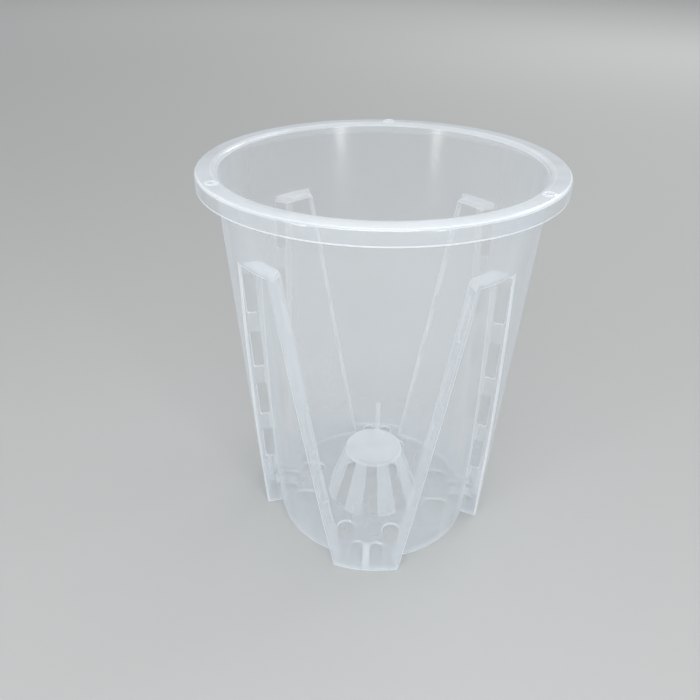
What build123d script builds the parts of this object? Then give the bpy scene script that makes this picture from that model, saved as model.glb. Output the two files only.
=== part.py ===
"""Slotted orchid pot: a thin clear moulding with a turned-down rim, four legs with slotted sides,
recessed panels between the legs and a slotted air cone in the floor.

Millimetres. The origin is on the ground under the middle of the pot, +Z is up and the front leg points to -Y.
The walls of the moulding meet face to face along its creases, one solid for each wall.
"""
from build123d import *
import math
import os

# Rim
rim_radius = 60.0
rim_width = 5.9
rim_plate = 1.2
rim_edge_round = 0.5
skirt_height = 5.1
skirt_wall = 1.0
hanger_count = 3
hanger_hole_radius = 1.15
hanger_back_angle = 90.0
eyelet_radius = 2.3
eyelet_rise = 0.3

# Main cone
pot_height = 141.6
foot_radius = 45.1
wall = 1.0

# Recesses between the legs
recess_depth = 6.4
ledge_height = 118.2

# Legs, all four alike, with half-widths stated on the circle of the foot radius
leg_foot_half_width = 13.2
leg_top_half_width = 32.4
leg_flare = -18.8

# Windows in the sides of the legs
window_count = 4
window_width = 3.6
window_height = 15.6
window_pitch = 23.3
window_drop = 3.4
window_setback = 2.4
window_head_setback = 3.6
window_corner = 0.8

# Floor
floor_level = 0.4
floor_plate = 1.2
drain_slot_width = 7.0
drain_slot_length = 10.6
drain_slot_offset = 9.0
drain_slot_gap = 2.6
foot_hole_width = 5.0
foot_hole_length = 10.0
foot_hole_wall_gap = 2.0

# Rib in each foot
rib_width = 2.4
rib_rise = 1.2
rib_length = 10.7
rib_height = 13.0

# Air cone
air_cone_foot_radius = 19.0
air_cone_cap_radius = 11.2
air_cone_height = 23.5
air_cone_wall = 1.1
air_cone_cap_plate = 1.2
air_cone_collar = 0.4
air_cone_rib_count = 8
air_cone_rib_share = 0.55

# Directions of the legs, and turns of the recess between the right and the back leg to its other places
leg_angles = {"right": 0.0, "back": 90.0, "left": 180.0, "front": 270.0}
recess_turns = {"back_right": 0.0, "back_left": 90.0, "front_left": 180.0, "front_right": 270.0}

# Sizes worked out from the ones above
mouth_radius = rim_radius - rim_width
floor_top = floor_level + floor_plate
ledge_underside = ledge_height - wall
rim_underside = pot_height - rim_plate
panel_back_inset = recess_depth + wall
air_cone_underside = air_cone_height - air_cone_cap_plate
air_cone_collar_base = air_cone_underside - air_cone_collar
air_cone_slope = (air_cone_foot_radius - air_cone_cap_radius) / (air_cone_height - floor_top)
leg_lean = math.tan(math.radians(leg_flare))
leg_taper = (leg_top_half_width - leg_foot_half_width) / ledge_height
full_turn = 360.0
stand_up = (Align.CENTER, Align.CENTER, Align.MIN)


def wall_radius(height, inset=0.0):
    """Radius of the main cone at a height, less an inset towards the axis."""
    return foot_radius + (mouth_radius - foot_radius) * height / pot_height - inset


def cone_core(inset, low, high):
    """Solid frustum inside the main cone, set in from its outer face."""
    frustum = Cone(wall_radius(low, inset), wall_radius(high, inset), high - low, align=stand_up)
    return Pos(0, 0, low) * frustum


def cone_shell(inset, back_inset, low, high):
    """Conical wall between two insets from the main cone's outer face."""
    return cone_core(inset, low, high) - cone_core(back_inset, low, high)


def leg_prism(depth=0.0):
    """Tapered block that holds one leg along +X; depth moves its sides inwards by that much wall."""
    inset = depth * math.sqrt(1 + leg_lean**2 + leg_taper**2)
    near = air_cone_foot_radius
    far = rim_radius
    sections = []
    for height, half in ((0.0, leg_foot_half_width), (ledge_height, leg_top_half_width)):
        near_half = half + leg_lean * (foot_radius - near) - inset
        far_half = half + leg_lean * (foot_radius - far) - inset
        corners = [(near, -near_half), (far, -far_half), (far, far_half), (near, near_half)]
        sections.append(Pos(0, 0, height) * Polygon(*corners, align=None))
    return loft(sections, ruled=True)


def turned(shape, angle):
    """Turn a shape or a place made along +X about the pot's axis."""
    return Rot(0, 0, angle) * shape


def panel_corner_reach(height):
    """Distance along a leg's axis to the crease between its side and the recessed panel."""
    base = leg_foot_half_width + leg_taper * height + leg_lean * foot_radius
    radius = wall_radius(height, recess_depth)
    spread = 1 + leg_lean**2
    return (leg_lean * base + math.sqrt(radius**2 * spread - base**2)) / spread


def window_cutters():
    """Column of windows through both sides of a leg along +X, in line between the head and the foot window."""
    first = ledge_underside - window_drop - window_height / 2
    heights = [first - step * window_pitch for step in range(window_count)]
    head = panel_corner_reach(heights[0]) + window_head_setback
    foot = panel_corner_reach(heights[-1]) + window_setback
    drift = (foot - head) / max(window_count - 1, 1)
    outline = RectangleRounded(window_width, window_height, window_corner)
    cutters = []
    for step, height in enumerate(heights):
        face = Plane.XZ * Pos(head + step * drift, height) * outline
        cutters.append(extrude(face, amount=rim_radius, both=True))
    return cutters


def half_space(side):
    """Block on one side of the plane through a leg's axis."""
    block = Box(2 * rim_radius, rim_radius, 2 * pot_height)
    return Pos(0, side * rim_radius / 2, 0) * block


def sector(angle, half_angle, radius, low, high):
    """Upright wedge about the axis, centred on an angle."""
    half_width = radius * math.tan(math.radians(half_angle))
    corners = [(0, 0), (radius, -half_width), (radius, half_width)]
    wedge = extrude(Polygon(*corners, align=None), amount=high - low)
    return turned(Pos(0, 0, low) * wedge, angle)


def ring(inner, outer, low, high):
    """Plain upright ring."""
    body = Cylinder(outer, high - low, align=stand_up) - Cylinder(inner, high - low, align=stand_up)
    return Pos(0, 0, low) * body


def make_rim_top_ring():
    """Flat ring round the mouth with hanger holes in small raised eyelets."""
    mouth = wall_radius(pot_height, wall)
    plate = ring(mouth, rim_radius, rim_underside, pot_height)
    outer_edge = plate.edges().filter_by(GeomType.CIRCLE).group_by(Axis.Z)[-1].sort_by(SortBy.RADIUS)[-1]
    plate = fillet(outer_edge, rim_edge_round)
    reach = (mouth + rim_radius) / 2
    for step in range(hanger_count):
        place = turned(Pos(reach, 0, rim_underside), hanger_back_angle + step * full_turn / hanger_count)
        plate += place * Cylinder(eyelet_radius, rim_plate + eyelet_rise, align=stand_up)
        plate -= place * Cylinder(hanger_hole_radius, rim_plate + eyelet_rise, align=stand_up)
    return plate


def make_rim_skirt():
    """Turned-down edge under the rim's outer border."""
    return ring(rim_radius - skirt_wall, rim_radius, pot_height - skirt_height, rim_underside)


def make_upper_wall():
    """Round conical wall between the ledges and the rim."""
    return cone_shell(0, wall, ledge_height, rim_underside)


def make_leg_wall():
    """Part of the main cone that a leg keeps, along +X."""
    return cone_shell(0, wall, 0, ledge_height) & leg_prism()


def make_leg_sides():
    """The two slotted sides of a leg along +X, left and right as seen when looking at it from outside."""
    slabs = leg_prism() - leg_prism(wall)
    slabs = slabs & cone_shell(wall, panel_back_inset, 0, ledge_height)
    slabs = slabs - window_cutters()
    return slabs & half_space(-1), slabs & half_space(1)


def make_recess():
    """Recessed panel between the right and the back leg, and the ledge that closes it at the top."""
    quarter = Box(rim_radius, rim_radius, ledge_height, align=(Align.MIN, Align.MIN, Align.MIN))
    neighbours = [turned(leg_prism(), leg_angles[name]) for name in ("right", "back")]
    gap = quarter - neighbours
    panel = cone_shell(recess_depth, panel_back_inset, 0, ledge_underside) & gap
    ledge = cone_shell(0, panel_back_inset, ledge_underside, ledge_height) & gap
    return panel, ledge


def floor_openings():
    """Drain slots and foot holes of one leg, in pairs on both sides of its axis, along +X."""
    slot_start = air_cone_foot_radius + drain_slot_gap
    slot = SlotOverall(drain_slot_length, drain_slot_width)
    hole_end = wall_radius(floor_level, wall + foot_hole_wall_gap)
    hole = SlotOverall(foot_hole_length, foot_hole_width)
    hole_offset = (rib_width + foot_hole_width) / 2
    cutters = []
    for side in (-1, 1):
        slot_place = Pos(slot_start + drain_slot_length / 2, side * drain_slot_offset)
        hole_place = Pos(hole_end - foot_hole_length / 2, side * hole_offset)
        cutters.append(extrude(slot_place * slot, amount=floor_top))
        cutters.append(extrude(hole_place * hole, amount=floor_top))
    return cutters


def make_base_floor():
    """Floor plate that fills the wavy outline inside the walls, with its drain openings."""
    plate = cone_core(panel_back_inset, floor_level, floor_top)
    channel = cone_core(wall, floor_level, floor_top)
    centre_hole = Cylinder(air_cone_foot_radius - air_cone_wall, floor_plate, align=stand_up)
    cutters = [Pos(0, 0, floor_level) * centre_hole]
    tongue = channel & leg_prism(wall)
    for angle in leg_angles.values():
        plate += turned(tongue, angle)
        cutters += [turned(cutter, angle) for cutter in floor_openings()]
    return plate - cutters


def make_foot_rib():
    """Narrow rib along +X on the floor of a leg that turns up its outer wall."""
    inner_end = wall_radius(floor_top, wall) - rib_length
    strip = Pos(inner_end, 0, floor_top) * Box(
        foot_radius, rib_width, rib_height - floor_top, align=(Align.MIN, Align.CENTER, Align.MIN)
    )
    low_part = strip & cone_core(wall, floor_top, floor_top + rib_rise)
    tall_part = strip & cone_shell(wall, wall + rib_rise, floor_top, rib_height)
    return low_part + tall_part


def air_cone_core(inset, low, high):
    """Solid frustum inside the air cone, set in from its outer face."""
    low_radius = air_cone_cap_radius + air_cone_slope * (air_cone_height - low) - inset
    high_radius = air_cone_cap_radius + air_cone_slope * (air_cone_height - high) - inset
    return Pos(0, 0, low) * Cone(low_radius, high_radius, high - low, align=stand_up)


def make_air_cone_ribs():
    """Ribs of the air cone, with open slots between them, some of them on the axes of the legs."""
    top = air_cone_collar_base
    shell = air_cone_core(0, floor_top, top) - air_cone_core(air_cone_wall, floor_top, top)
    step = full_turn / air_cone_rib_count
    half_rib = air_cone_rib_share * step / 2
    ribs = []
    for place in range(air_cone_rib_count):
        angle = step / 2 + place * step
        span = sector(angle, half_rib, air_cone_foot_radius, floor_top, top)
        ribs.append((shell & span).solid())
    return Compound(children=ribs)


def make_air_cone_cap():
    """Flat cap of the air cone with a short collar that gathers the ribs."""
    body = air_cone_core(0, air_cone_collar_base, air_cone_height)
    return body - air_cone_core(air_cone_wall, air_cone_collar_base, air_cone_underside)


def make_pot():
    """All walls of the pot by name."""
    nodes = {
        "rim_top_ring": make_rim_top_ring(),
        "rim_skirt": make_rim_skirt(),
        "upper_wall": make_upper_wall(),
        "base_floor": make_base_floor(),
        "air_cone_ribs": make_air_cone_ribs(),
        "air_cone_cap": make_air_cone_cap(),
    }
    rib = make_foot_rib()
    leg_wall = make_leg_wall()
    left_side, right_side = make_leg_sides()
    for name, angle in leg_angles.items():
        nodes[f"leg_wall_{name}"] = turned(leg_wall, angle)
        nodes[f"{name}_leg_side_left"] = turned(left_side, angle)
        nodes[f"{name}_leg_side_right"] = turned(right_side, angle)
        nodes[f"foot_rib_{name}"] = turned(rib, angle)
    panel, ledge = make_recess()
    for place, turn in recess_turns.items():
        nodes[f"recess_panel_{place}"] = turned(panel, turn)
        nodes[f"recess_ledge_{place}"] = turned(ledge, turn)
    return nodes


os.makedirs("parts", exist_ok=True)
for node, shape in make_pot().items():
    export_step(shape, f"parts/{node}.step")
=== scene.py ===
# %% [markdown]
# # A clear slotted orchid pot
# The real pot is one thin moulding of frosted clear plastic. A tapered wall stands on four legs, with
# recesses between them and columns of small windows in the sides of the legs. A flat rim turns down at its
# edge, and a slotted cone in the floor lets air up into the bark. The lesson builds it from the same few
# sizes as the CAD model, as clean sheets with rounded folds, and then gives it a hazy see-through finish.

# %% Load the frame and keep its box
import math
from types import SimpleNamespace

import bpy
import numpy as np
from mathutils import Matrix, Vector


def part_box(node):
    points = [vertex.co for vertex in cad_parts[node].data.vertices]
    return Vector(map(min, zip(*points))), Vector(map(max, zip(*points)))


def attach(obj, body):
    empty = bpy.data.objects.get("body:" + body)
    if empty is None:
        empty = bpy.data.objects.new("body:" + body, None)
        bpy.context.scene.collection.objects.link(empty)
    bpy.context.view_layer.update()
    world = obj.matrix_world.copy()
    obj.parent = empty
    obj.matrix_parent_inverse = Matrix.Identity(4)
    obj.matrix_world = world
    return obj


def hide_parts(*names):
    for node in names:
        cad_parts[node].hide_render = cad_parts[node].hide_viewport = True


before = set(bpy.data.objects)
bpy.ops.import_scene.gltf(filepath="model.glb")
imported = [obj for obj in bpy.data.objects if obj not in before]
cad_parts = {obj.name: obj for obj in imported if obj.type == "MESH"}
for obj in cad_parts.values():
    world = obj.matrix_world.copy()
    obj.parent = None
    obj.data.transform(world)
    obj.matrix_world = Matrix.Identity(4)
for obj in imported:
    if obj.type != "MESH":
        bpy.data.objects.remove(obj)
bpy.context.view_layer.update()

# %% [markdown]
# ## Sizes
# Heights and radii come from the boxes of the CAD nodes. The few sizes that a box can't show, such as the
# depth of the recesses and the lean of the legs' sides, are named here in millimetres.

# %% Sizes from the frame, and the ones that boxes don't show
mm = 0.001
rim_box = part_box("rim_top_ring")
skirt_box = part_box("rim_skirt")
neck_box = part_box("upper_wall")
ledge_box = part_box("recess_ledge_back_right")
floor_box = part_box("base_floor")
cap_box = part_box("air_cone_cap")
rib_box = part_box("foot_rib_right")

rim_radius = rim_box[1].y
rim_plate = 1.2 * mm
rim_top = rim_box[0].z + rim_plate
skirt_bottom = skirt_box[0].z
ledge_underside = ledge_box[0].z
ledge_height = ledge_box[1].z
wall = ledge_height - ledge_underside

foot_radius = 45.1 * mm
wall_slope = (neck_box[1].y - foot_radius) / neck_box[1].z
recess_depth = 6.4 * mm

leg_count = 4
leg_foot_half = 13.2 * mm
leg_top_half = 32.4 * mm
leg_lean = math.tan(math.radians(-18.8))
quarter = math.radians(90.0)
print(f"rim radius {rim_radius / mm:.1f}, rim top {rim_top / mm:.1f}, wall {wall / mm:.2f} mm")

# %% [markdown]
# ## Small helpers
# Every piece ends as a plain mesh at the origin. Modifiers do the rounding, and one helper turns the
# finished result into a mesh and drops them, so that nothing live is left on a piece.

# %% Helpers for meshes
smooth_limit = math.radians(38.0)
rounding_limit = math.radians(50.0)


def new_piece(name, mesh, materials):
    """New object that shows a mesh in its materials."""
    mesh.materials.clear()
    for material in materials:
        mesh.materials.append(material)
    piece = bpy.data.objects.new(name, mesh)
    bpy.context.scene.collection.objects.link(piece)
    return piece


def mesh_piece(name, points, faces, materials):
    """New object from points and faces, with its materials."""
    mesh = bpy.data.meshes.new(name)
    mesh.from_pydata([tuple(point) for point in points], [], faces)
    return new_piece(name, mesh, materials)


def finished_mesh(source):
    """Plain mesh of an object as its modifiers leave it."""
    depsgraph = bpy.context.evaluated_depsgraph_get()
    return bpy.data.meshes.new_from_object(source.evaluated_get(depsgraph))


def apply_modifiers(piece):
    """Give a piece its finished mesh and drop the modifiers."""
    raw = piece.data
    plain = finished_mesh(piece)
    piece.modifiers.clear()
    piece.data = plain
    bpy.data.meshes.remove(raw)


def settle(piece):
    """Turn a piece and its modifiers into one plain mesh with smooth shading between sharp edges."""
    apply_modifiers(piece)
    piece.data.shade_smooth()
    piece.data.set_sharp_from_angle(angle=smooth_limit)


def settle_flats(piece):
    """Settle a piece and let large faces set the shading, so that flats stay flat beside rounded edges."""
    settle(piece)
    weighted = piece.modifiers.new("even_normals", "WEIGHTED_NORMAL")
    weighted.keep_sharp = True
    apply_modifiers(piece)


def round_edges(piece, width, segments=2):
    """Small rounding of every sharp edge."""
    bevel = piece.modifiers.new("round_edges", "BEVEL")
    bevel.limit_method = "ANGLE"
    bevel.angle_limit = rounding_limit
    bevel.width = width
    bevel.segments = segments


def triangles(piece):
    """Number of triangles in a piece."""
    return sum(len(face.vertices) - 2 for face in piece.data.polygons)


print(f"edges sharper than {math.degrees(smooth_limit):.0f} degrees stay sharp in the shading")

# %% [markdown]
# ## Finish of the plastic
# The plastic scatters a little of the light in each wall, so one wall looks like a thin veil and the far
# wall still shows through it. The longer the way through the plastic, the whiter it looks: folds, cut edges
# and walls seen from the side are the brightest. The wall is also a little hazier near its foot, which is
# painted light: it lifts the foot out of the shade that the pot casts under itself. Real
# refraction through so many thin sheets would be slow and grainy, so each material mixes clear, scattered
# and mirrored light by its haze. A node group gives all of them the cloudy unevenness of the moulding and
# the painted light at the foot.

# %% Sockets of the shared effect
haze_inputs = {
    "Cloud Scale": 22.0,
    "Cloud Amount": 0.15,
    "Flow Amount": 0.08,
    "Foot Height": 25.0 * mm,
    "Foot Amount": 0.0,
    "Roughness": 0.16,
}
haze_outputs = ("Haze", "Roughness", "Height")

haze_group = bpy.data.node_groups.new("moulding_haze_and_painted_foot_light", "ShaderNodeTree")
haze_group.interface.new_socket("Vector", in_out="INPUT", socket_type="NodeSocketVector")
for name, value in haze_inputs.items():
    socket = haze_group.interface.new_socket(name, in_out="INPUT", socket_type="NodeSocketFloat")
    socket.default_value = value
for name in haze_outputs:
    haze_group.interface.new_socket(name, in_out="OUTPUT", socket_type="NodeSocketFloat")
print("sockets of the shared effect:", [item.name for item in haze_group.interface.items_tree])

# %% Nodes of the shared effect: uneven haze and flow lines
cloud_detail = 3.0
flow_detail = 2.0
flow_stretch = (110.0, 110.0, 6.0)
noise_range = {"From Min": 0.25, "From Max": 0.75}


def add_node(tree, kind, inputs=(), **settings):
    """New node with its settings, its inputs fed by plain values or by the outputs of other nodes."""
    node = tree.nodes.new(kind)
    for name, value in settings.items():
        setattr(node, name, value)
    for name, value in dict(inputs).items():
        if isinstance(value, bpy.types.NodeSocket):
            tree.links.new(value, node.inputs[name])
        else:
            node.inputs[name].default_value = value
    return node


def add_math(tree, operation, *values, clamp=False):
    """Output of a new Math node on plain values or on the outputs of other nodes."""
    node = add_node(tree, "ShaderNodeMath", enumerate(values), operation=operation, use_clamp=clamp)
    return node.outputs[0]


def add_noise(tree, vector, scale, detail):
    """Output of a new Noise node."""
    inputs = {"Vector": vector, "Scale": scale, "Detail": detail}
    return add_node(tree, "ShaderNodeTexNoise", inputs).outputs["Fac"]


def add_swing(tree, noise, amount):
    """Noise turned into a swing about 1 of that amount."""
    low = add_math(tree, "SUBTRACT", 1.0, amount)
    high = add_math(tree, "ADD", 1.0, amount)
    inputs = {"Value": noise, **noise_range, "To Min": low, "To Max": high}
    return add_node(tree, "ShaderNodeMapRange", inputs).outputs["Result"]


def fill_haze_group(group):
    """Haze factor, roughness and fine height of the moulding from object coordinates, with painted light at
    the foot.
    """
    given = add_node(group, "NodeGroupInput").outputs
    place = given["Vector"]
    cloud = add_noise(group, place, given["Cloud Scale"], cloud_detail)
    clouds = add_swing(group, cloud, given["Cloud Amount"])
    stretched = add_node(group, "ShaderNodeMapping", {"Vector": place, "Scale": flow_stretch})
    flow = add_noise(group, stretched.outputs["Vector"], 1.0, flow_detail)
    uneven = add_math(group, "MULTIPLY", clouds, add_swing(group, flow, given["Flow Amount"]))
    # Painted light: the haze rises towards the foot, to lift it out of the shade under the pot.
    foot_inputs = {
        "Value": add_node(group, "ShaderNodeSeparateXYZ", {"Vector": place}).outputs["Z"],
        "From Max": given["Foot Height"],
        "To Min": given["Foot Amount"],
        "To Max": 0.0,
    }
    near_foot = add_node(group, "ShaderNodeMapRange", foot_inputs, interpolation_type="SMOOTHSTEP")
    haze = add_math(group, "MULTIPLY_ADD", near_foot.outputs["Result"], uneven, uneven)
    rough = add_math(group, "MULTIPLY", given["Roughness"], clouds)
    add_node(group, "NodeGroupOutput", {"Haze": haze, "Roughness": rough, "Height": flow})


fill_haze_group(haze_group)
print("nodes of the shared effect:", len(haze_group.nodes))

# %% Clear plastic from a haze value
least_slant = 0.12
most_shine = 0.4
plastic_ior = 1.49
flow_strength = 0.12
flow_depth = 0.3 * mm
linear_blend = 0.5


def mix_shaders(tree, share, first, second):
    """Output of a new mix of two shaders, with the share of the second."""
    return add_node(tree, "ShaderNodeMixShader", enumerate((share, first, second))).outputs["Shader"]


def clear_plastic(name, haze, tint, cut=False, scatter=0.5, gloss=1.6, foot=0.0):
    """Hazy clear plastic: haze is the share of light that one wall scatters when it is seen square on.

    A cut edge scatters the light that reaches it from inside the wall as well. The value for the foot is
    the share of haze that is added there, as painted light that brightens the foot.
    """
    material = bpy.data.materials.new(name)
    material.use_nodes = True
    tree = material.node_tree
    tree.nodes.clear()
    place = add_node(tree, "ShaderNodeTexCoord").outputs["Object"]
    effect_inputs = {"Vector": place, "Foot Amount": foot}
    effect = add_node(tree, "ShaderNodeGroup", effect_inputs, node_tree=haze_group).outputs
    bump_inputs = {"Strength": flow_strength, "Distance": flow_depth, "Height": effect["Height"]}
    surface = {
        "Roughness": effect["Roughness"],
        "Normal": add_node(tree, "ShaderNodeBump", bump_inputs).outputs["Normal"],
    }

    facing = add_node(tree, "ShaderNodeLayerWeight", {"Blend": linear_blend}).outputs["Facing"]
    cosine = add_math(tree, "SUBTRACT", 1.0, facing)
    path = add_math(tree, "DIVIDE", 1.0, add_math(tree, "MAXIMUM", cosine, least_slant))
    clearness = add_math(tree, "POWER", 1.0 - haze, path)
    even_veil = add_math(tree, "SUBTRACT", 1.0, clearness)
    veil = add_math(tree, "MULTIPLY", even_veil, effect["Haze"], clamp=True)
    back = add_node(tree, "ShaderNodeNewGeometry").outputs["Backfacing"]
    front = add_math(tree, "SUBTRACT", 1.0, back)
    if not cut:
        veil = add_math(tree, "MULTIPLY", veil, front)

    body_inputs = {"Base Color": tint, "Specular IOR Level": 0.0, **surface}
    body = add_node(tree, "ShaderNodeBsdfPrincipled", body_inputs).outputs["BSDF"]
    glow = add_node(tree, "ShaderNodeBsdfTranslucent", {"Color": tint}).outputs["BSDF"]
    clear = add_node(tree, "ShaderNodeBsdfTransparent").outputs["BSDF"]
    sheet = mix_shaders(tree, veil, clear, mix_shaders(tree, scatter, body, glow))

    mirror = add_node(tree, "ShaderNodeBsdfGlossy", surface).outputs["BSDF"]
    fresnel = add_node(tree, "ShaderNodeFresnel", {"IOR": plastic_ior}).outputs["Fac"]
    shine = add_math(tree, "MINIMUM", add_math(tree, "MULTIPLY", fresnel, gloss), most_shine)
    whole = mix_shaders(tree, add_math(tree, "MULTIPLY", shine, front), sheet, mirror)
    add_node(tree, "ShaderNodeOutputMaterial", {"Surface": whole})
    return material


print("longest way through a sheet, in walls:", round(1.0 / least_slant, 1))

# %% Plastics for the places on the pot
wall_tint = (0.855, 0.92, 0.975, 1.0)
edge_tint = (0.915, 0.96, 1.0, 1.0)
# The rim's tint, with the rim plastic below, paints the light from above onto the rim's top.
rim_tint = (0.89, 0.95, 1.0, 1.0)
# Painted light: foot=0.5 makes the wall hazier and whiter near its foot, against the shade under the pot.
wall_plastic = clear_plastic("clear_plastic_wall", haze=0.195, tint=wall_tint, foot=0.5)
edge_plastic = clear_plastic("clear_plastic_edge", haze=0.88, tint=edge_tint, cut=True)
fold_plastic = clear_plastic("clear_plastic_fold", haze=0.5, tint=edge_tint, gloss=1.0)
crease_plastic = clear_plastic("clear_plastic_crease", haze=0.29, tint=edge_tint, gloss=1.0)
# Painted light: the rim's top gets this hazier, whiter plastic, which takes less light from below, so it
# reads brighter for the light from above.
rim_plastic = clear_plastic("clear_plastic_rim", haze=0.5, tint=rim_tint, scatter=0.38)
# Lip plastic whitens the cut lower edge of the skirt and the sides of the floor's holes; on the rim's
# rounded upper edge it is partly a painted highlight, all round the rim.
lip_plastic = clear_plastic("clear_plastic_lip", haze=0.88, tint=edge_tint, scatter=0.42, gloss=0.5)
floor_plastic = clear_plastic("clear_plastic_floor", haze=0.24, tint=edge_tint)
rib_plastic = clear_plastic("clear_plastic_thick", haze=0.44, tint=edge_tint)
print("plastics:", [material.name for material in bpy.data.materials if "clear_plastic_" in material.name])

# %% [markdown]
# ## The wall as one sheet
# Wall, legs, recesses, rim and skirt are one continuous sheet on the real pot, so they are one piece here.
# They could be cut from a cone with blocks, but then each fold would have to be found again to be rounded.
# Instead the outer face is laid out as rows of points: each row follows the wavy outline of legs and
# recesses, the recesses close with a flat roof, and round rows carry on up to the rim and over into the
# skirt. Bevel weights then round the folds, and Solidify gives the sheet its wall on the inside.

# %% Outline of the wall at a height
leg_columns = 20
recess_columns = 12
crease_strip = 1.5 * mm


def wall_radius(height):
    """Radius of the main cone's outer face at a height."""
    return foot_radius + wall_slope * height


def on_circle(radius, angle):
    """Point of a circle about the axis."""
    return radius * math.cos(angle), radius * math.sin(angle)


def arc(radius, start, stop, columns, height, end_strip=0.0):
    """Points of an arc about the axis, both ends included, with narrow columns at its ends if asked."""
    angles = np.linspace(start, stop, columns + 1)
    if end_strip:
        inset = end_strip / radius
        angles = [start, *np.linspace(start + inset, stop - inset, columns - 1), stop]
    return [(*on_circle(radius, angle), height) for angle in angles]


def crease_reach(height, radius, depth=0.0):
    """Distance along a leg's axis, and across it, to where its side meets a circle."""
    half = leg_foot_half + (leg_top_half - leg_foot_half) * height / ledge_height
    spread = 1.0 + leg_lean**2
    base = half + leg_lean * foot_radius - depth * math.sqrt(spread)
    along = (leg_lean * base + math.sqrt(radius**2 * spread - base**2)) / spread
    return along, base - leg_lean * along


def crease_angle(height, radius, depth=0.0):
    """Angle from a leg's axis to where its side meets a circle."""
    along, across = crease_reach(height, radius, depth)
    return math.atan2(across, along)


def beside(crease, corner):
    """Point on a leg's side, one strip away from the crease."""
    crease, corner = Vector(crease), Vector(corner)
    return tuple(crease + (corner - crease).normalized() * crease_strip)


def wavy_row(height, depth=0.0):
    """One row round the wall, a leg and then a recess four times over, at a depth inside its outer face."""
    outer = wall_radius(height) - depth
    inner = outer - recess_depth
    corner = crease_angle(height, outer, depth)
    crease = crease_angle(height, inner, depth)
    row = []
    for place in range(leg_count):
        axis = place * quarter
        leg = arc(outer, axis - corner, axis + corner, leg_columns, height)
        panel = arc(inner, axis + crease, axis + quarter - crease, recess_columns, height, crease_strip)
        next_corner = (*on_circle(outer, axis + quarter - corner), height)
        row += [*leg, beside(panel[0], leg[-1]), *panel, beside(panel[-1], next_corner)]
    return row


row_size = len(wavy_row(0.0))
quarter_size = row_size // leg_count
first_crease = leg_columns + 2
last_crease = quarter_size - 2
print("points in a row:", row_size)

# %% Faces of the legs and recesses
leg_rows = 16
edge_band = 0.4 * mm
outer_fold = 0.6
inner_fold = 0.5


def add_legs_and_recesses(sheet):
    """Rows of faces from the foot up to the roofs, with folds along the corners and creases."""
    for height in (0.0, *np.linspace(edge_band, ledge_underside, leg_rows)):
        sheet.points += wavy_row(height)
    for low in range(0, leg_rows * row_size, row_size):
        high = low + row_size
        for column in range(row_size):
            following = (column + 1) % row_size
            if column % quarter_size in (first_crease - 1, last_crease):
                sheet.strips.append(len(sheet.faces))
            sheet.faces.append((low + column, low + following, high + following, high + column))
        for first in range(0, row_size, quarter_size):
            for column in (first, first + leg_columns):
                sheet.folds.append((low + column, high + column, outer_fold))
            for column in (first + first_crease, first + last_crease):
                sheet.folds.append((low + column, high + column, inner_fold))


sheet = SimpleNamespace(points=[], faces=[], strips=[], folds=[])
add_legs_and_recesses(sheet)
print("faces of the legs and recesses:", len(sheet.faces))

# %% Roofs of the recesses
roof_fold = 1.0


def add_recess_roofs(sheet):
    """Flat roofs from the tops of the panels out to the round wall; gives the round row above them."""
    top = leg_rows * row_size
    outer = wall_radius(ledge_underside)
    corner = crease_angle(ledge_underside, outer)
    round_row = []
    for place in range(leg_count):
        first = top + place * quarter_size
        leg_end = first + leg_columns
        side, next_side = leg_end + 1, first + quarter_size - 1
        next_start = top + (place + 1) % leg_count * quarter_size
        panel = range(first + first_crease, first + last_crease + 1)
        start, stop = place * quarter + corner, (place + 1) * quarter - corner
        between = arc(outer, start, stop, recess_columns, ledge_underside)[1:-1]
        brow = [leg_end, *range(len(sheet.points), len(sheet.points) + len(between)), next_start]
        sheet.points += between
        for column in range(recess_columns):
            roof = [panel[column], panel[column + 1], brow[column + 1], brow[column]]
            if column == 0:
                roof.append(side)
            elif column == recess_columns - 1:
                roof.insert(2, next_side)
            sheet.faces.append(tuple(roof))
            sheet.folds.append((panel[column], panel[column + 1], inner_fold))
            sheet.folds.append((brow[column], brow[column + 1], outer_fold))
        for edge in ((panel[0], side), (side, leg_end), (panel[-1], next_side), (next_side, next_start)):
            sheet.folds.append((*edge, roof_fold))
        round_row += [*range(first, leg_end), *brow[:-1]]
    return round_row


round_row = add_recess_roofs(sheet)
print("points in the round row:", len(round_row))

# %% Neck, rim and skirt
neck_rows = 4
mouth_band = 1.2 * mm
rim_inner_fold = 0.4
rim_outer_fold = 0.25


def add_neck_rim_and_skirt(sheet, round_row):
    """Round rows that go up the neck, out under the rim and down inside the skirt."""
    rim_underside = rim_top - wall
    skirt_inside = rim_radius - wall
    neck_radius = wall_radius(rim_underside)
    neck = np.linspace(ledge_underside, rim_underside, neck_rows + 1)[1:-1]
    profile = [(wall_radius(height), height, 0.0) for height in neck] + [
        (neck_radius, rim_underside, rim_inner_fold),
        (neck_radius + mouth_band, rim_underside, 0.0),
        (skirt_inside, rim_underside, rim_outer_fold),
        (skirt_inside, skirt_bottom + edge_band, 0.0),
        (skirt_inside, skirt_bottom, 0.0),
    ]
    angles = [math.atan2(sheet.points[index][1], sheet.points[index][0]) for index in round_row]
    below = round_row
    for radius, height, weight in profile:
        above = range(len(sheet.points), len(sheet.points) + len(angles))
        sheet.points += [(*on_circle(radius, angle), height) for angle in angles]
        for column in range(len(angles)):
            following = (column + 1) % len(angles)
            sheet.faces.append((below[column], below[following], above[following], above[column]))
            if weight:
                sheet.folds.append((above[column], above[following], weight))
        below = above


add_neck_rim_and_skirt(sheet, round_row)
print("faces of the sheet:", len(sheet.faces))

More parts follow.
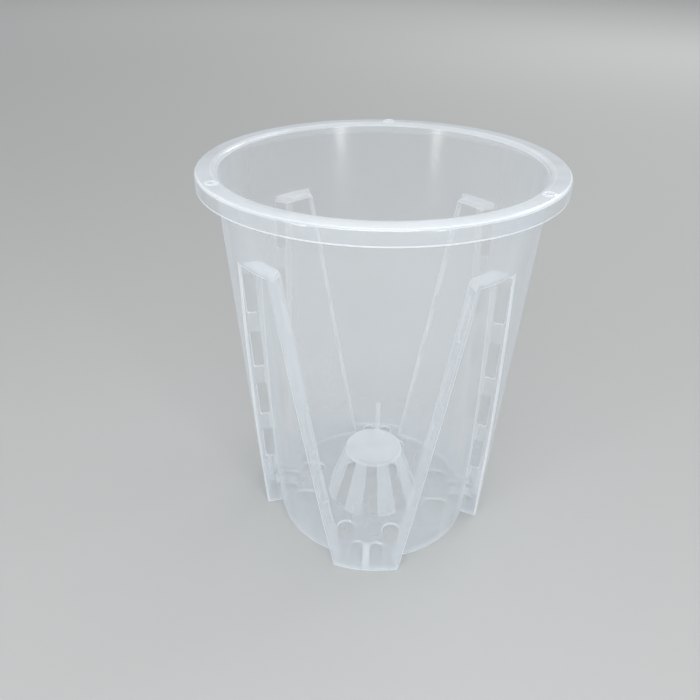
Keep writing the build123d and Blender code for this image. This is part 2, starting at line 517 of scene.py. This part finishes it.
# %% Round the folds and give the sheet its wall
wall_plastics = (wall_plastic, edge_plastic, fold_plastic, crease_plastic, rim_plastic, lip_plastic)
wall_slot, edge_slot, fold_slot, crease_slot, rim_slot, lip_slot = range(len(wall_plastics))
fold_radius = 1.6 * mm
fold_steps = 4


def weight_folds(piece, folds):
    """Write the bevel weight of each folded edge, and count them."""
    weights = {frozenset(pair): weight for *pair, weight in folds}
    attribute = piece.data.attributes.new("bevel_weight_edge", "FLOAT", "EDGE")
    values = [weights.get(frozenset(edge.vertices), 0.0) for edge in piece.data.edges]
    attribute.data.foreach_set("value", values)
    return np.count_nonzero(values)


pot_wall = mesh_piece("pot_wall", sheet.points, sheet.faces, wall_plastics)
for index in sheet.strips:
    pot_wall.data.polygons[index].material_index = crease_slot
print("folded edges:", weight_folds(pot_wall, sheet.folds))
bevel = pot_wall.modifiers.new("folds", "BEVEL")
bevel.limit_method = "WEIGHT"
bevel.width = fold_radius
bevel.segments = fold_steps
bevel.material = fold_slot
thick = pot_wall.modifiers.new("wall", "SOLIDIFY")
thick.thickness = wall
thick.offset = -1.0
thick.use_even_offset = True
thick.use_quality_normals = True
thick.material_offset_rim = edge_slot
settle(pot_wall)
print("wall with its folds:", triangles(pot_wall), "triangles")

# %% [markdown]
# ## Copies about the axis
# Windows, hanger holes, ribs and eyelets repeat round the pot. They could be placed one by one in a loop,
# but one Geometry Nodes tree does it for all of them: it turns copies of a single modelled one about the
# axis, with the number of copies, the first angle and the material as its inputs.

# %% Geometry Nodes tree for copies about the axis
tree_inputs = {
    "Geometry": "NodeSocketGeometry",
    "Count": "NodeSocketInt",
    "First Angle": "NodeSocketFloat",
    "Material": "NodeSocketMaterial",
}


def copies_tree():
    """Tree that sets copies of the piece's own mesh round the axis and gives them a material."""
    tree = bpy.data.node_groups.new("copies_about_axis", "GeometryNodeTree")
    for name, kind in tree_inputs.items():
        tree.interface.new_socket(name, in_out="INPUT", socket_type=kind)
    tree.interface.new_socket("Geometry", in_out="OUTPUT", socket_type="NodeSocketGeometry")
    given = add_node(tree, "NodeGroupInput").outputs
    index = add_node(tree, "GeometryNodeInputIndex").outputs["Index"]
    step = add_math(tree, "DIVIDE", math.tau, given["Count"])
    angle = add_math(tree, "MULTIPLY_ADD", index, step, given["First Angle"])
    copies_inputs = {
        "Points": add_node(tree, "GeometryNodePoints", {"Count": given["Count"]}).outputs["Points"],
        "Instance": given["Geometry"],
        "Rotation": add_node(tree, "ShaderNodeCombineXYZ", {"Z": angle}).outputs["Vector"],
    }
    copies = add_node(tree, "GeometryNodeInstanceOnPoints", copies_inputs).outputs["Instances"]
    real = add_node(tree, "GeometryNodeRealizeInstances", {"Geometry": copies}).outputs["Geometry"]
    finish_inputs = {"Geometry": real, "Material": given["Material"]}
    finish = add_node(tree, "GeometryNodeSetMaterial", finish_inputs).outputs["Geometry"]
    add_node(tree, "NodeGroupOutput", {"Geometry": finish})
    return tree


copies_about_axis = copies_tree()


def spread_about_axis(piece, count, first_angle, material):
    """Repeat a piece round the axis, in one material."""
    modifier = piece.modifiers.new("copies", "NODES")
    modifier.node_group = copies_about_axis
    values = {"Count": count, "First Angle": first_angle, "Material": material}
    for item in copies_about_axis.interface.items_tree:
        if item.in_out == "INPUT" and item.name in values:
            modifier[item.identifier] = values[item.name]


print("inputs of the tree:", list(tree_inputs))

# %% [markdown]
# ## Windows and hanger holes
# Four windows stand above each other in each side of a leg, and each pair lies on one straight line across
# its leg. They don't follow the rows of the sheet, so they can't be left out of it as faces. One block per
# pair is cut out of the sheet instead, with round corners, and three small holes go through the rim for a
# hanger.

# %% Blocks for the windows of one leg
window_count = 4
window_width = 3.6 * mm
window_height = 15.6 * mm
window_pitch = 23.3 * mm
window_drop = 3.4 * mm
window_head_setback = 3.6 * mm
window_setback = 2.4 * mm
window_corner = 0.8 * mm
corner_steps = 4


def rounded_rectangle(left, right, bottom, top, corner):
    """Corners of a rectangle with round corners, anticlockwise."""
    outline = []
    corners = ((right - corner, top - corner), (left + corner, top - corner))
    corners += ((left + corner, bottom + corner), (right - corner, bottom + corner))
    for turn, (x, z) in enumerate(corners):
        for angle in np.linspace(turn * quarter, (turn + 1) * quarter, corner_steps + 1):
            across, up = on_circle(corner, angle)
            outline.append((x + across, z + up))
    return outline


def prism(outline, low, high, place):
    """Closed prism of an outline between two depths, moved by a function to where it belongs."""
    size = len(outline)
    points = [place(u, v, low) for u, v in outline] + [place(u, v, high) for u, v in outline]
    faces = [tuple(range(size - 1, -1, -1)), tuple(range(size, 2 * size))]
    for index in range(size):
        following = (index + 1) % size
        faces.append((index, following, size + following, size + index))
    return points, faces


def window_blocks():
    """Points and faces of the blocks for the pairs of windows in the leg along +X."""
    highest = ledge_underside - window_drop - window_height / 2
    heights = [highest - step * window_pitch for step in range(window_count)]
    creases = [crease_reach(height, wall_radius(height) - recess_depth) for height in heights]
    head = creases[0][0] + window_head_setback
    foot = creases[-1][0] + window_setback
    points, faces = [], []
    for height, column, (_, across) in zip(heights, np.linspace(head, foot, window_count), creases):
        reach = across + recess_depth / 2
        left, right = column - window_width / 2, column + window_width / 2
        bottom, top = height - window_height / 2, height + window_height / 2
        outline = rounded_rectangle(left, right, bottom, top, window_corner)
        block_points, block_faces = prism(outline, reach, -reach, lambda u, v, w: (u, w, v))
        faces += [tuple(len(points) + index for index in face) for face in block_faces]
        points += block_points
    return points, faces


windows = mesh_piece("windows", *window_blocks(), wall_plastics)
print("blocks for one leg:", triangles(windows), "triangles")

# %% Cut the windows and the hanger holes
hanger_count = 3
hanger_back_angle = math.radians(90.0)
hanger_radius = 1.15 * mm
hanger_reach = (wall_radius(rim_top) - wall + rim_radius) / 2
hole_sides = 24
edge_round = 0.22 * mm


def circle(radius, sides):
    """Corners of a circle about the axis, anticlockwise."""
    return [on_circle(radius, angle) for angle in np.linspace(0.0, math.tau, sides, endpoint=False)]


def hanger_pin():
    """Points and faces of a round pin through the rim on the +X side."""
    outline = circle(hanger_radius, hole_sides)
    return prism(outline, rim_top - 2 * wall, rim_top + wall, lambda u, v, w: (hanger_reach + u, v, w))


def cut_out(piece, cutter):
    """Cut a body out of a piece and remove the body."""
    apply_modifiers(cutter)
    cut = piece.modifiers.new("cut", "BOOLEAN")
    cut.operation = "DIFFERENCE"
    cut.solver = "EXACT"
    cut.object = cutter
    settle(piece)
    bpy.data.objects.remove(cutter)


hanger_pins = mesh_piece("hanger_pins", *hanger_pin(), wall_plastics)
spread_about_axis(windows, leg_count, 0.0, fold_plastic)
spread_about_axis(hanger_pins, hanger_count, hanger_back_angle, fold_plastic)
cut_out(pot_wall, windows)
cut_out(pot_wall, hanger_pins)
round_edges(pot_wall, edge_round)
settle_flats(pot_wall)
print("wall with its windows:", triangles(pot_wall), "triangles")

# %% [markdown]
# ## Edges, folds and rim of the wall
# On the real pot the plastic looks whitest where light runs along inside it: at cut edges, at folds and
# round the rim's edges. The inner creases of the legs stay faint. Painted weights would need a much finer
# mesh, so each of these places is found by its height, its reach and its slope, and its faces get the
# plastic that belongs there. The rim's top and the roofs of the recesses get a hazier, whiter plastic as
# painted light from above, and the rim's rounded upper edge is whitened all round, partly as a painted
# highlight.

# %% Places on the wall
rising = 0.7
level = 0.9


def on_crease(centre, normal):
    """True where only the creases of the legs and recesses are folds."""
    inside = centre.xy.length < wall_radius(centre.z) - recess_depth / 2
    return inside and centre.z < ledge_underside - 2 * wall


def on_foot(centre, normal):
    """True on the lower edge that the pot stands on."""
    return centre.z < edge_band


def on_roof(centre, normal):
    """True on the flat roofs of the recesses."""
    return abs(centre.z - ledge_underside) < 2 * wall and abs(normal.z) > level


def on_rim(centre, normal):
    """True on the flat rim."""
    return centre.z > rim_top - wall


def on_mouth(centre, normal):
    """True on the rim's inner edge."""
    inside = centre.xy.length < wall_radius(rim_top) + mouth_band
    return on_rim(centre, normal) and inside and normal.z > rising


def on_upper_lip(centre, normal):
    """True on the rounded edge between the rim and its skirt."""
    outside = centre.xy.length > rim_radius - 1.5 * wall
    return on_rim(centre, normal) and outside and rising < normal.z < level


def on_skirt(centre, normal):
    """True on the turned-down edge of the rim."""
    return centre.xy.length > rim_radius - 2 * wall and centre.z < rim_top - wall


def on_lower_lip(centre, normal):
    """True on the outer side of the skirt's lower edge."""
    outward = normal.xy.dot(centre.xy) > 0
    return on_skirt(centre, normal) and outward and centre.z < skirt_bottom + edge_band


def paint(piece, slot, test, instead_of=None):
    """Give a slot to the faces whose centre and normal pass a test, or only to those in another slot."""
    chosen = [face for face in piece.data.polygons if test(face.center, face.normal)]
    for face in chosen:
        if instead_of in (None, face.material_index):
            face.material_index = slot


paint(pot_wall, crease_slot, on_crease, instead_of=fold_slot)
paint(pot_wall, edge_slot, on_foot)
# Painted light: the roofs get the hazier fold plastic, so they read brighter for the light that falls on
# them from above.
paint(pot_wall, fold_slot, on_roof)
paint(pot_wall, wall_slot, on_skirt)
# Painted light: the rim's top is made whiter for the light that falls on it from above.
paint(pot_wall, rim_slot, on_rim)
paint(pot_wall, fold_slot, on_mouth)
paint(pot_wall, lip_slot, on_lower_lip)
# Partly painted highlight: the rim's rounded upper edge is whitened all round, for its long way through the
# plastic and for the highlight of the lamps on it.
paint(pot_wall, lip_slot, on_upper_lip)
used_slots = [face.material_index for face in pot_wall.data.polygons]
print("faces by plastic:", {plastic.name: used_slots.count(i) for i, plastic in enumerate(wall_plastics)})

# %% [markdown]
# ## Floor
# The floor is a flat plate that fills the wavy outline. Long drain slots and small foot holes lie in pairs
# beside each leg's axis, and a round opening in the middle leads into the air cone. The openings could be
# cut like the windows, but a filled 2D curve makes such a plate with all its holes in one go.

# %% Openings of the floor
floor_level = floor_box[0].z
floor_top = floor_box[1].z
cone_foot_radius = 19.0 * mm
cone_wall = 1.1 * mm
drain_length = 10.6 * mm
drain_width = 7.0 * mm
drain_offset = 9.0 * mm
drain_gap = 2.6 * mm
foot_hole_length = 10.0 * mm
foot_hole_width = 5.0 * mm
foot_hole_gap = 2.0 * mm
rib_width = rib_box[1].y - rib_box[0].y
slot_steps = 10
centre_sides = 64


def stadium(centre, offset, length, width):
    """Outline of a slot with round ends along +X."""
    radius = width / 2
    straight = length / 2 - radius
    outline = []
    for end, start in ((centre + straight, -quarter), (centre - straight, quarter)):
        for angle in np.linspace(start, start + 2 * quarter, slot_steps + 1):
            along, across = on_circle(radius, angle)
            outline.append((end + along, offset + across))
    return outline


def turned_outline(outline, angle):
    """Outline turned about the pot's axis."""
    turn = Matrix.Rotation(angle, 2)
    return [tuple(turn @ Vector(point)) for point in outline]


def floor_holes():
    """All openings of the floor."""
    drain_centre = cone_foot_radius + drain_gap + drain_length / 2
    hole_centre = wall_radius(floor_level) - wall - foot_hole_gap - foot_hole_length / 2
    hole_offset = (rib_width + foot_hole_width) / 2
    holes = [circle(cone_foot_radius - cone_wall, centre_sides)]
    for number in range(leg_count):
        for side in (-1, 1):
            drain = stadium(drain_centre, side * drain_offset, drain_length, drain_width)
            foot_hole = stadium(hole_centre, side * hole_offset, foot_hole_length, foot_hole_width)
            holes += [turned_outline(outline, number * quarter) for outline in (drain, foot_hole)]
    return holes


print("openings of the floor:", len(floor_holes()))

# %% Floor plate
plate_round = 0.3 * mm
hole_side = 0.95
floor_plastics = (floor_plastic, lip_plastic)
hole_slot = floor_plastics.index(lip_plastic)


def plate(name, outlines, low, high, rounding, materials):
    """Flat plate from an outer outline and its holes, with rounded edges."""
    curve = bpy.data.curves.new(name, "CURVE")
    curve.dimensions = "2D"
    curve.fill_mode = "BOTH"
    curve.extrude = (high - low) / 2 - rounding
    curve.bevel_depth = rounding
    curve.bevel_resolution = 1
    curve.offset = -rounding
    for outline in outlines:
        spline = curve.splines.new("POLY")
        spline.points.add(len(outline) - 1)
        for point, (x, y) in zip(spline.points, outline):
            point.co = (x, y, 0.0, 1.0)
        spline.use_cyclic_u = True
    flat = bpy.data.objects.new(name + "_curve", curve)
    bpy.context.scene.collection.objects.link(flat)
    mesh = finished_mesh(flat)
    bpy.data.objects.remove(flat)
    mesh.transform(Matrix.Translation((0.0, 0.0, (low + high) / 2)))
    return new_piece(name, mesh, materials)


def on_hole(centre, normal):
    """True on the upright sides of the floor's openings, but not on its outer outline."""
    reach = centre.xy.length
    beside_axis = min(abs(centre.x), abs(centre.y)) < foot_hole_width + rib_width
    inside = reach < foot_radius - recess_depth - wall or (beside_axis and reach < foot_radius - 2 * wall)
    return inside and abs(normal.z) < hole_side


floor_outline = [point[:2] for point in wavy_row((floor_level + floor_top) / 2, wall / 2)]
floor_outlines = [floor_outline, *floor_holes()]
floor_plate = plate("floor_plate", floor_outlines, floor_level, floor_top, plate_round, floor_plastics)
paint(floor_plate, hole_slot, on_hole)
settle(floor_plate)
print("floor plate:", triangles(floor_plate), "triangles")

# %% [markdown]
# ## Air cone
# Eight flat ribs lean in to a round cap, with open slots between them. The ribs are copies of one curved
# strip. The cap is a turned profile with a short collar, which keeps its round edges cleaner than a cut
# cone would.

# %% Ribs of the air cone
cap_top = cap_box[1].z
collar_base = cap_box[0].z
cap_radius = 11.2 * mm
cone_slope = (cone_foot_radius - cap_radius) / (cap_top - floor_top)
rib_count = 8
rib_step = math.tau / rib_count
rib_share = 0.55
rib_columns = 6
join_overlap = 0.2 * mm
rib_round = 0.3 * mm


def cone_radius(height):
    """Outer radius of the air cone at a height."""
    return cap_radius + cone_slope * (cap_top - height)


def cone_rib():
    """Points and faces of a curved strip of the air cone along +X."""
    half_angle = rib_share * rib_step / 2
    rings = []
    for height in (floor_top - join_overlap, collar_base + join_overlap):
        for inset in (0.0, cone_wall):
            rings.append(arc(cone_radius(height) - inset, -half_angle, half_angle, rib_columns, height))
    points = [point for ring in rings for point in ring]
    size = rib_columns + 1
    low_out, low_in, high_out, high_in = (range(n * size, (n + 1) * size) for n in range(len(rings)))
    faces = []
    for i in range(rib_columns):
        faces.append((low_out[i], low_out[i + 1], high_out[i + 1], high_out[i]))
        faces.append((low_in[i + 1], low_in[i], high_in[i], high_in[i + 1]))
        faces.append((high_out[i], high_out[i + 1], high_in[i + 1], high_in[i]))
        faces.append((low_out[i + 1], low_out[i], low_in[i], low_in[i + 1]))
    faces.append((low_out[0], high_out[0], high_in[0], low_in[0]))
    faces.append((low_out[-1], low_in[-1], high_in[-1], high_out[-1]))
    return points, faces


air_cone_ribs = mesh_piece("cone_ribs", *cone_rib(), (rib_plastic,))
round_edges(air_cone_ribs, rib_round)
spread_about_axis(air_cone_ribs, rib_count, rib_step / 2, rib_plastic)
settle_flats(air_cone_ribs)
print("ribs of the air cone:", triangles(air_cone_ribs), "triangles")

# %% Cap of the air cone
cap_plate = 1.2 * mm
cap_round = 0.5 * mm
cap_round_steps = 3
cap_sides = 64


def lathe(profile, sides):
    """Points and faces of a closed turned body from a profile of radii and heights; radius 0 is a pole."""
    points, rings = [], []
    for radius, height in profile:
        ring = circle(radius, sides if radius > 0 else 1)
        rings.append(range(len(points), len(points) + len(ring)))
        points += [(*point, height) for point in ring]
    faces = []
    for low, high in zip(rings, rings[1:] + rings[:1]):
        for i in range(sides):
            j = (i + 1) % sides
            quad = [low[i % len(low)], low[j % len(low)], high[j % len(high)], high[i % len(high)]]
            corners = tuple(dict.fromkeys(quad))
            if len(corners) > 2:
                faces.append(corners)
    return points, faces


cap_underside = cap_top - cap_plate
cap_profile = [
    (cone_radius(collar_base) - cone_wall, collar_base),
    (cone_radius(collar_base), collar_base),
    (cap_radius, cap_top),
    (0.0, cap_top),
    (0.0, cap_underside),
    (cone_radius(cap_underside) - cone_wall, cap_underside),
]
# Painted light: the cap takes the hazier fold plastic, so its top reads brighter for the light from above.
air_cone_cap = mesh_piece("cone_cap", *lathe(cap_profile, cap_sides), (fold_plastic,))
round_edges(air_cone_cap, cap_round, cap_round_steps)
settle_flats(air_cone_cap)
print("cap of the air cone:", triangles(air_cone_cap), "triangles")

# %% [markdown]
# ## Foot ribs and eyelets
# A narrow rib runs over the floor of each leg and up its wall, and stiffens the foot. The hanger holes have
# low raised rings. Each is modelled once on the +X side, as a prism or a turned ring, and repeated round
# the axis.

# %% Foot ribs
rib_rise = 1.2 * mm
rib_inner_end = rib_box[0].x
rib_top = rib_box[1].z
foot_rib_round = 0.3 * mm


def foot_rib():
    """Points and faces of a rib along +X with an arm on the floor and an upright arm on the wall."""
    bite = wall / 3
    low, bend, top = (wall_radius(height) - wall for height in (floor_top, floor_top + rib_rise, rib_top))
    outline = [
        (rib_inner_end, floor_top - bite),
        (low + bite, floor_top - bite),
        (top + bite, rib_top),
        (top - rib_rise, rib_top),
        (bend - rib_rise, floor_top + rib_rise),
        (rib_inner_end, floor_top + rib_rise),
    ]
    return prism(outline, rib_width / 2, -rib_width / 2, lambda u, v, w: (u, w, v))


foot_ribs = mesh_piece("foot_ribs", *foot_rib(), (rib_plastic,))
round_edges(foot_ribs, foot_rib_round)
spread_about_axis(foot_ribs, leg_count, 0.0, rib_plastic)
settle_flats(foot_ribs)
print("foot ribs:", triangles(foot_ribs), "triangles")

# %% Eyelets round the hanger holes
eyelet_radius = 2.3 * mm
eyelet_base = rim_top - join_overlap
eyelet_top = rim_box[1].z
eyelet_round = 0.25 * mm
eyelet_profile = [
    (hanger_radius, eyelet_base),
    (eyelet_radius, eyelet_base),
    (eyelet_radius, eyelet_top),
    (hanger_radius, eyelet_top),
]
ring_points, ring_faces = lathe(eyelet_profile, hole_sides)
ring_points = [(x + hanger_reach, y, z) for x, y, z in ring_points]
eyelets = mesh_piece("rim_eyelets", ring_points, ring_faces, (fold_plastic,))
round_edges(eyelets, eyelet_round)
spread_about_axis(eyelets, hanger_count, hanger_back_angle, fold_plastic)
settle_flats(eyelets)
print("eyelets:", triangles(eyelets), "triangles")

# %% [markdown]
# ## Pieces and the CAD nodes they stand for
# Each piece rides on the pot's one body and takes the place of the CAD nodes that it shows in finer form.

# %% Ride and replace
wall_starts = ("leg_wall", "recess_", "upper_wall", "rim_skirt", "rim_top_ring")
stands_for = {
    pot_wall: [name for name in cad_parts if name.startswith(wall_starts) or "_leg_side_" in name],
    floor_plate: ["base_floor"],
    air_cone_ribs: ["air_cone_ribs"],
    air_cone_cap: ["air_cone_cap"],
    foot_ribs: [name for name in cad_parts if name.startswith("foot_rib_")],
    eyelets: [],
}
for piece, nodes in stands_for.items():
    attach(piece, "root")
    if nodes:
        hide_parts(*nodes)
print("pieces:", [piece.name for piece in stands_for])

# %% [markdown]
# ## Stage
# A pale grey sheet lies under the pot and sweeps up far behind it, so that the camera sees no end of it.
# Light is soft and plain. One softbox hangs over the floor in front, and two tall ones at the front left
# and right leave upright streaks on the wall. A small one brightens the plastic from behind, two hang over
# the far floor, and an even sky fills the shadows.

# %% Floor sweep
sweep_width = 6.0
sweep_front = -2.0
sweep_back = 3.2
sweep_radius = 0.9
sweep_height = 2.4
sweep_steps = 24
paper_dark = (0.452, 0.458, 0.457, 1.0)
paper_pale = (0.468, 0.475, 0.474, 1.0)
paper_cloud_scale = 1.5
paper_cloud_detail = 2.0


def sweep_material():
    """Pale matt paper with a very faint cloud in it."""
    material = bpy.data.materials.new("pale_paper")
    material.use_nodes = True
    tree = material.node_tree
    place = add_node(tree, "ShaderNodeTexCoord").outputs["Object"]
    cloud = add_noise(tree, place, paper_cloud_scale, paper_cloud_detail)
    shades = {"Factor": cloud, "A": paper_dark, "B": paper_pale}
    shade = add_node(tree, "ShaderNodeMix", shades, data_type="RGBA").outputs["Result"]
    body = tree.nodes["Principled BSDF"]
    body.inputs["Roughness"].default_value = 0.9
    body.inputs["Specular IOR Level"].default_value = 0.1
    tree.links.new(shade, body.inputs["Base Color"])
    return material


def sweep_profile():
    """Side line of the sheet: flat, a quarter round, then upright."""
    line = [(sweep_front, 0.0), (sweep_back, 0.0)]
    for angle in np.linspace(0.0, quarter, sweep_steps + 1)[1:]:
        up, back = on_circle(sweep_radius, angle)
        line.append((sweep_back + back, sweep_radius - up))
    line.append((sweep_back + sweep_radius, sweep_height))
    return line


line = sweep_profile()
sweep_points = [(side * sweep_width / 2, y, z) for y, z in line for side in (-1, 1)]
sweep_faces = [(2 * i, 2 * i + 1, 2 * i + 3, 2 * i + 2) for i in range(len(line) - 1)]
sweep = mesh_piece("paper_sweep", sweep_points, sweep_faces, (sweep_material(),))
sweep.data.shade_smooth()
print("strips of the sweep:", len(sweep_faces))

# %% Lights and sky
pot_middle = (0.0, 0.0, rim_top / 2)
sky_colour = (0.98, 0.99, 1.0, 1.0)
sky_strength = 0.73
most_sheets_seen_through = 64


def softbox(name, place, aim, width, height, power):
    """Rectangular area light at a place, turned to its aim."""
    lamp = bpy.data.lights.new(name, "AREA")
    lamp.shape = "RECTANGLE"
    lamp.size = width
    lamp.size_y = height
    lamp.energy = power
    holder = bpy.data.objects.new(name, lamp)
    holder.location = place
    holder.rotation_euler = (Vector(aim) - Vector(place)).to_track_quat("-Z", "Y").to_euler()
    bpy.context.scene.collection.objects.link(holder)


softbox("front_softbox", (0.0, -0.45, 0.5), aim=(0.0, -0.42, 0.0), width=0.5, height=0.3, power=1.9)
softbox("left_softbox", (-0.43, -0.49, 0.22), aim=pot_middle, width=0.08, height=0.42, power=0.7)
softbox("right_softbox", (0.43, -0.6, 0.22), aim=pot_middle, width=0.09, height=0.42, power=1.0)
softbox("rear_softbox", (0.5, 0.3, 0.7), aim=pot_middle, width=0.3, height=0.3, power=0.9)
softbox("back_softbox", (0.65, 1.25, 0.9), aim=(0.5, 1.15, 0.0), width=0.7, height=0.5, power=3.9)
softbox("far_softbox", (0.0, 2.3, 1.3), aim=(0.0, 2.3, 0.0), width=2.4, height=1.0, power=7.0)
world = bpy.data.worlds.new("even_sky")
world.use_nodes = True
sky = world.node_tree.nodes["Background"]
sky.inputs["Color"].default_value = sky_colour
sky.inputs["Strength"].default_value = sky_strength
scene = bpy.context.scene
scene.world = world
scene.view_settings.view_transform = "Standard"
scene.cycles.transparent_max_bounces = most_sheets_seen_through
scene.cycles.use_denoising = True

# %% [markdown]
# ## Camera
# The camera stands in front of the pot and a little above it, and looks down at about 31 degrees. Its place
# and lens come from fitting the rim's circles and the foot to the photograph's frame.

# %% Camera
camera_place = (0.0086, -0.2199, 0.2036)
camera_heading = math.radians(4.845)
camera_pitch = math.radians(31.336)
camera_roll = math.radians(0.343)
sensor_width = 36.0
frame_pixels = 700.0
focal_pixels = 678.0

lens = bpy.data.cameras.new("camera")
lens.sensor_width = sensor_width
lens.lens = focal_pixels / frame_pixels * sensor_width
lens.clip_start = 0.01
camera = bpy.data.objects.new("camera", lens)
camera.matrix_world = (
    Matrix.Translation(camera_place)
    @ Matrix.Rotation(camera_heading, 4, "Z")
    @ Matrix.Rotation(quarter - camera_pitch, 4, "X")
    @ Matrix.Rotation(camera_roll, 4, "Z")
)
scene.collection.objects.link(camera)
scene.camera = camera
print("lens in mm:", round(lens.lens, 2))
